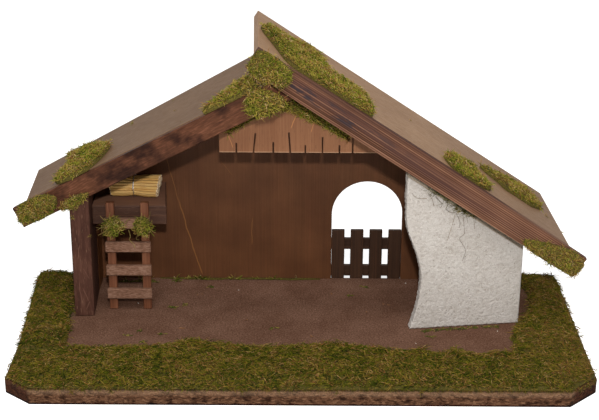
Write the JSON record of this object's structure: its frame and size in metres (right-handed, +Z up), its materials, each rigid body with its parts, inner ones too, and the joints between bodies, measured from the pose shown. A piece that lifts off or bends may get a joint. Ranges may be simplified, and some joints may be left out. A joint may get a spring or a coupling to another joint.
{
  "type": "wooden nativity stable",
  "caption": "Rustic wooden nativity stable with a lopsided roof, a loft with a straw bundle, a leaning ladder, an arched back doorway with a picket fence, and moss trim.",
  "frame": {"origin": "middle of the base board's underside", "axes": "+X to the right along the base, +Y from the open front to the back wall, +Z up"},
  "size_m": [0.6106, 0.2773, 0.3366],
  "materials": {
    "chipboard": "matt stained chipboard",
    "floor_mat": "brown flock",
    "stained_plywood": "satin stain",
    "pale_stained_plywood": "satin stain",
    "roof_plywood": "satin stain",
    "charred_lath": "scorched and stained",
    "stained_lath": "scorched and stained",
    "sawn_batten": "matt stain",
    "rough_plaster": "rough cream plaster",
    "ladder_stick": "matt stain",
    "ladder_rung_wood": "matt stain",
    "straw": "dry straw",
    "steel_wire": "bright wire",
    "dried_moss": "dried moss fibres"
  },
  "bodies": {
    "root": {"back_wall": "stained_plywood", "bargeboard_left": "stained_lath", "bargeboard_right": "charred_lath", "base_board": "chipboard", "bundle_wire": "steel_wire", "corner_post": "sawn_batten", "fence_picket_1": "sawn_batten", "fence_picket_2": "sawn_batten", "fence_picket_3": "sawn_batten", "fence_picket_4": "sawn_batten", "fence_rail_lower": "sawn_batten", "fence_rail_upper": "sawn_batten", "floor_mat": "floor_mat", "gable_panel": "pale_stained_plywood", "ladder_rail_left": "ladder_stick", "ladder_rail_right": "ladder_stick", "ladder_rung_1": "ladder_rung_wood", "ladder_rung_2": "ladder_rung_wood", "ladder_rung_3": "ladder_rung_wood", "ladder_rung_4": "ladder_rung_wood", "loft_plank": "sawn_batten", "moss_border_front": "dried_moss", "moss_border_left": "dried_moss", "moss_border_right": "dried_moss", "moss_eave_left": "dried_moss", "moss_eave_right": "dried_moss", "moss_gable": "dried_moss", "moss_joint": "dried_moss", "moss_ladder_left": "dried_moss", "moss_ladder_right": "dried_moss", "moss_peak": "dried_moss", "moss_plaster": "dried_moss", "moss_post": "dried_moss", "moss_ridge_left": "dried_moss", "moss_roof_left": "dried_moss", "moss_roof_lower": "dried_moss", "moss_roof_middle": "dried_moss", "moss_roof_ridge": "dried_moss", "moss_wall_foot": "dried_moss", "plaster_wall": "rough_plaster", "roof_left": "roof_plywood", "roof_right": "roof_plywood", "side_wall_left": "stained_plywood", "side_wall_right": "stained_plywood", "straw_bundle": "straw"}
  },
  "joints": []
}
